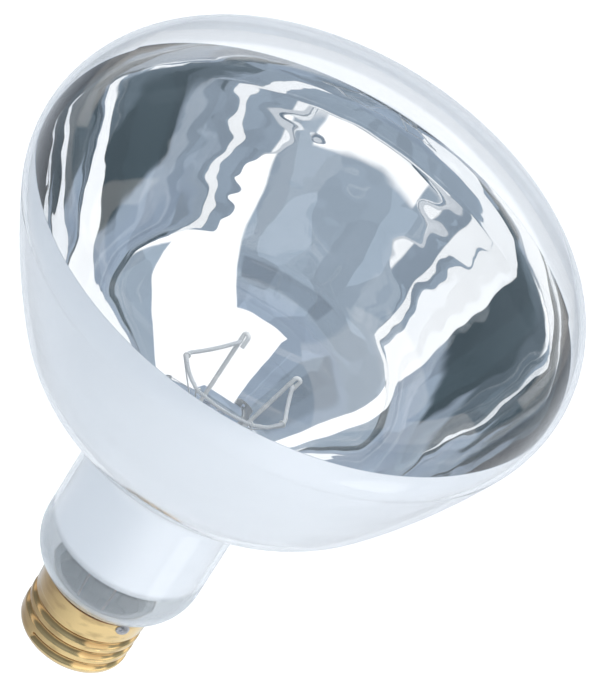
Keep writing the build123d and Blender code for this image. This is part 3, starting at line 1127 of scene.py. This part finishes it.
@dataclass
class Studio:
    """Floor, surrounding light and the camera of the photograph."""

    floor_height: float = -0.25
    floor_size: float = 12.0
    camera_place: Vector = field(default_factory=lambda: Vector((8.21, -1036.0, 889.3)) * MM)
    camera_axes: Matrix = field(
        default_factory=lambda: Matrix(
            ((0.844, -0.5363, 0.0), (0.3227, 0.5079, -0.7987), (0.42834, 0.67413, 0.60173))
        )
    )
    lens: float = 322.2
    lamp_size: float = 1.6
    lamp_power: float = 10.5
    front_power: float = 6.5

    def camera(self) -> None:
        """Places the camera."""
        deselect()
        bpy.ops.object.camera_add(location=self.camera_place)
        made = take("photo_camera")
        made.rotation_mode = "QUATERNION"
        made.rotation_quaternion = self.camera_axes.to_quaternion()
        made.data.sensor_fit = "AUTO"
        made.data.sensor_width = 36.0
        made.data.lens = self.lens
        made.data.clip_start = 0.05
        made.data.clip_end = 50.0
        bpy.context.scene.camera = made

    def floor(self) -> None:
        """Lays the pale floor, with painted shade that darkens it towards -X and -Y, so that glass and metal reflect
        a darker floor there.
        """
        deselect()
        bpy.ops.mesh.primitive_plane_add(size=self.floor_size, location=(0, 0, self.floor_height))
        made = take("studio_floor")
        bpy.ops.object.transform_apply(location=True, rotation=True, scale=True)
        paint, tree, shader = new_material("floor_finish")
        place = tree.nodes.new("ShaderNodeTexCoord")
        split = tree.nodes.new("ShaderNodeSeparateXYZ")
        tree.links.new(place.outputs["Object"], split.inputs["Vector"])
        slant = tree.nodes.new("ShaderNodeMath")
        slant.operation = "MULTIPLY_ADD"
        slant.inputs[1].default_value = 0.5
        tree.links.new(split.outputs["Y"], slant.inputs[0])
        tree.links.new(split.outputs["X"], slant.inputs[2])
        # Painted shade: the floor's colour runs from 0.76 on the -X and -Y side to 0.95 on the other, so its
        # reflections are darker there.
        pale = tree.nodes.new("ShaderNodeRGB")
        pale.outputs[0].default_value = (0.76, 0.78, 0.8, 1)
        shaded_floor = tinted(tree, masked(tree, slant.outputs["Value"], -0.42, 0.14), pale.outputs[0], (0.95, 0.955, 0.96))
        tree.links.new(shaded_floor, shader.inputs["Base Color"])
        shader.inputs["Roughness"].default_value = 1.0
        shader.inputs["Specular IOR Level"].default_value = 0.0
        shader.inputs["Emission Color"].default_value = (1, 0.9, 0.8, 1)
        rays = tree.nodes.new("ShaderNodeLightPath")
        glow = tree.nodes.new("ShaderNodeMath")
        glow.operation = "MULTIPLY"
        glow.inputs[1].default_value = 0.28
        tree.links.new(rays.outputs["Is Camera Ray"], glow.inputs[0])
        tree.links.new(glow.outputs["Value"], shader.inputs["Emission Strength"])
        made.data.materials.append(paint)

    def surroundings(self) -> None:
        """Lights the lamp from a pale room with white panels and a darker camera side."""
        world = bpy.data.worlds.new("studio_world")
        bpy.context.scene.world = world
        world.use_nodes = True
        tree = world.node_tree
        light = tree.nodes["Background"]
        room = RoomLight(tree).colour()
        tree.links.new(room, light.inputs["Color"])
        light.inputs["Strength"].default_value = 1.0
        white = tree.nodes.new("ShaderNodeBackground")
        white.inputs["Color"].default_value = (1, 1, 1, 1)
        rays = tree.nodes.new("ShaderNodeLightPath")
        mix = tree.nodes.new("ShaderNodeMixShader")
        tree.links.new(rays.outputs["Is Camera Ray"], mix.inputs["Fac"])
        tree.links.new(light.outputs["Background"], mix.inputs[1])
        tree.links.new(white.outputs["Background"], mix.inputs[2])
        tree.links.new(mix.outputs["Shader"], tree.nodes["World Output"].inputs["Surface"])

    def lamps(self) -> None:
        """Hangs two soft lamps that matt surfaces see and mirrors don't, one above and one beside the camera."""
        for name, place, turn, power in (
            ("top_lamp", (0.25, 0.3, 1.5), (0.0, 0.0, 0.0), self.lamp_power),
            ("front_lamp", (0.1, -1.1, 1.05), (math.radians(48), 0.0, 0.0), self.front_power),
        ):
            deselect()
            bpy.ops.object.light_add(type="AREA", location=place, rotation=turn)
            made = take(name)
            made.data.shape = "DISK"
            made.data.size = self.lamp_size
            made.data.energy = power
            made.visible_camera = False
            made.visible_glossy = False
            made.visible_transmission = False

    def low_panel(self) -> None:
        """Stands a white panel low on the right, which only polished surfaces see."""
        deselect()
        bpy.ops.mesh.primitive_plane_add(size=0.26, location=(0.36, -0.12, -0.22), rotation=(0, -0.9, -0.3))
        made = take("low_panel")
        bpy.ops.object.transform_apply(location=True, rotation=True, scale=True)
        paint, tree, shader = new_material("low_panel_finish")
        place = tree.nodes.new("ShaderNodeTexCoord")
        reach = tree.nodes.new("ShaderNodeVectorMath")
        reach.operation = "DISTANCE"
        reach.inputs[1].default_value = (0.5, 0.5, 0)
        tree.links.new(place.outputs["UV"], reach.inputs[0])
        shader.inputs["Base Color"].default_value = (0.9, 0.9, 0.9, 1)
        shader.inputs["Emission Color"].default_value = (1, 1, 1, 1)
        glow = masked(tree, reach.outputs["Value"], 0.48, 0.2, 1.15)
        tree.links.new(glow, shader.inputs["Emission Strength"])
        made.data.materials.append(paint)
        made.visible_camera = False
        made.visible_diffuse = False
        made.visible_shadow = False
        made.visible_transmission = False

    def build(self) -> None:
        """Sets up the whole studio."""
        self.floor()
        self.low_panel()
        self.lamps()
        self.surroundings()
        self.camera()
        bpy.context.scene.view_settings.view_transform = "Standard"


@dataclass
class RoomLight:
    """Colour of the light from each direction, as panels painted on a grey room."""

    tree: bpy.types.NodeTree
    low_room: tuple[float, float, float] = (0.38, 0.46, 0.55)
    high_room: tuple[float, float, float] = (0.37, 0.45, 0.56)
    panel: tuple[float, float, float] = (1.35, 1.35, 1.35)
    horizon: tuple[float, float, float] = (0.78, 0.81, 0.85)
    shade: tuple[float, float, float] = (0.27, 0.33, 0.4)
    dim: tuple[float, float, float] = (0.12, 0.16, 0.19)
    dark: tuple[float, float, float] = (0.055, 0.085, 0.1)
    facet_scale: float = 4.5
    facet_range: float = 0.3

    def math(self, operation: str, *values: object) -> bpy.types.NodeSocket:
        """Adds a math node.

        Args:
            operation: Name of the operation.
            values: Numbers or sockets, one for each input.

        Returns:
            The node's value.
        """
        node = self.tree.nodes.new("ShaderNodeMath")
        node.operation = operation
        for entry, value in zip(node.inputs, values):
            if isinstance(value, bpy.types.NodeSocket):
                self.tree.links.new(value, entry)
            else:
                entry.default_value = value
        return node.outputs["Value"]

    def window(self, value: bpy.types.NodeSocket, low: float, high: float, soft: float) -> bpy.types.NodeSocket:
        """Gives 1 where an angle is between two limits, with soft ends.

        Args:
            value: Angle in degrees.
            low: Lower limit.
            high: Upper limit.
            soft: Width of the soft ends.

        Returns:
            The mask.
        """
        ends = []
        for edge, sign in ((low, 1.0), (high, -1.0)):
            node = self.tree.nodes.new("ShaderNodeMapRange")
            node.interpolation_type = "SMOOTHSTEP"
            node.inputs["From Min"].default_value = edge - sign * soft / 2
            node.inputs["From Max"].default_value = edge + sign * soft / 2
            self.tree.links.new(value, node.inputs["Value"])
            ends.append(node.outputs["Result"])
        return self.math("MULTIPLY", *ends)

    def patch(
        self,
        bearing: bpy.types.NodeSocket,
        across: Point,
        height: bpy.types.NodeSocket,
        up: Point,
        soft: float = 1.5,
    ) -> bpy.types.NodeSocket:
        """Gives 1 inside a patch of the room.

        Args:
            bearing: Bearing in degrees, 0 towards the camera and 90 to the lamp's right.
            across: Lowest and highest bearing.
            height: Height above the horizon in degrees.
            up: Lowest and highest height.
            soft: Width of the soft edges.

        Returns:
            The mask.
        """
        return self.math("MULTIPLY", self.window(bearing, *across, soft), self.window(height, *up, soft))

    def blend(self, mask: bpy.types.NodeSocket, under: object, over: object) -> bpy.types.NodeSocket:
        """Lays one colour over another.

        Args:
            mask: Where the upper colour shows.
            under: Lower colour, a socket or three numbers.
            over: Upper colour, a socket or three numbers.

        Returns:
            The mixed colour.
        """
        node = self.tree.nodes.new("ShaderNodeMix")
        node.data_type = "RGBA"
        self.tree.links.new(mask, node.inputs["Factor"])
        for entry, value in ((node.inputs[6], under), (node.inputs[7], over)):
            if isinstance(value, bpy.types.NodeSocket):
                self.tree.links.new(value, entry)
            else:
                entry.default_value = (*value, 1)
        return node.outputs[2]

    def uneven(self, colour: bpy.types.NodeSocket, direction: bpy.types.NodeSocket) -> bpy.types.NodeSocket:
        """Breaks a plain colour up into flat facets, a little lighter or darker than each other.

        Args:
            colour: Plain colour.
            direction: Direction of the ray.

        Returns:
            The varied colour.
        """
        cells = self.tree.nodes.new("ShaderNodeTexVoronoi")
        cells.inputs["Scale"].default_value = self.facet_scale
        self.tree.links.new(direction, cells.inputs["Vector"])
        tone = self.tree.nodes.new("ShaderNodeSeparateColor")
        self.tree.links.new(cells.outputs["Color"], tone.inputs["Color"])
        strength = self.math("MULTIPLY_ADD", tone.outputs["Red"], self.facet_range, 1 - self.facet_range / 2)
        scaled = self.tree.nodes.new("ShaderNodeVectorMath")
        scaled.operation = "SCALE"
        self.tree.links.new(colour, scaled.inputs[0])
        self.tree.links.new(strength, scaled.inputs["Scale"])
        return scaled.outputs["Vector"]

    def colour(self) -> bpy.types.NodeSocket:
        """Builds the nodes.

        Returns:
            The colour socket.
        """
        place = self.tree.nodes.new("ShaderNodeTexCoord")
        split = self.tree.nodes.new("ShaderNodeSeparateXYZ")
        self.tree.links.new(place.outputs["Generated"], split.inputs["Vector"])
        x, y, z = split.outputs
        height = self.math("MULTIPLY", self.math("ARCSINE", z), 180 / math.pi)
        toward = self.math("MULTIPLY", y, -1.0)
        bearing = self.math("MULTIPLY", self.math("ARCTAN2", x, toward), 180 / math.pi)
        result = self.blend(self.window(height, 47, 200, 8), self.low_room, self.high_room)
        left_lean = self.math("ADD", bearing, self.math("MULTIPLY", height, 0.9))
        right_lean = self.math("SUBTRACT", bearing, self.math("MULTIPLY", height, 1.3))
        right = self.math("MULTIPLY", self.window(right_lean, -300, 34, 1.5), self.patch(bearing, (33, 300), height, (5, 66)))
        rays = self.tree.nodes.new("ShaderNodeLightPath")
        twice = self.math("GREATER_THAN", rays.outputs["Glossy Depth"], 1.5)
        dim = self.patch(bearing, (-64, 34), height, (21, 35), 3)
        dark = self.patch(bearing, (-24, 34), height, (28, 44), 2.5)
        low_strip = self.patch(bearing, (-34, 16), height, (15, 22))
        shades = [
            (self.patch(bearing, (-26, 30), height, (31, 44), 2), self.shade),
            (self.patch(bearing, (-124, -50), height, (50, 73), 3), self.shade),
            (self.math("MULTIPLY", dim, twice), self.dim),
            (self.math("MULTIPLY", dark, twice), self.dark),
        ]
        for mask, colour in shades:
            result = self.blend(mask, result, colour)
        result = self.uneven(result, place.outputs["Generated"])
        panels = [
            (self.math("MULTIPLY", low_strip, twice), self.panel),
            (self.window(height, -100, 5, 2), self.horizon),
            (self.patch(bearing, (-24, 22), height, (4, 8)), self.panel),
            (right, self.panel),
            (self.patch(bearing, (60, 97), height, (5, 27)), self.panel),
            (self.patch(left_lean, (-68, -54), height, (5, 50)), self.panel),
            (self.patch(bearing, (118, 200), height, (5, 15), 2), self.panel),
            (self.patch(bearing, (-200, -118), height, (5, 15), 2), self.panel),
            (self.patch(bearing, (38, 110), height, (63, 74), 2), self.panel),
            (self.patch(bearing, (-24, 60), height, (62, 69.5), 0.8), self.panel),
        ]
        for mask, colour in panels:
            result = self.blend(mask, result, colour)
        return result


# ---------------------------------------------------------------- main


@dataclass
class Lamp:
    """The whole lamp."""

    shop: Workshop = field(default_factory=Workshop)
    bulb: Bulb = field(default_factory=Bulb)
    shell: ScrewShell = field(default_factory=ScrewShell)
    filament: Filament = field(default_factory=Filament)
    supports: Supports = field(default_factory=Supports)

    def build(self) -> None:
        """Builds the visual pieces and dresses the CAD nodes that stay."""
        self.bulb.build(self.shop)
        self.shell.build(self.shop)
        self.filament.build(self.shop)
        self.supports.build(self.shop, self.filament)
        for name, kind in SHOWN_NODES.items():
            self.shop.dress(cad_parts[name], kind)


def main() -> None:
    """Builds the scene."""
    logging.basicConfig(level=logging.INFO)
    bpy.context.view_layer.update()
    Lamp().build()
    Studio().build()


if __name__ == "__main__":
    main()
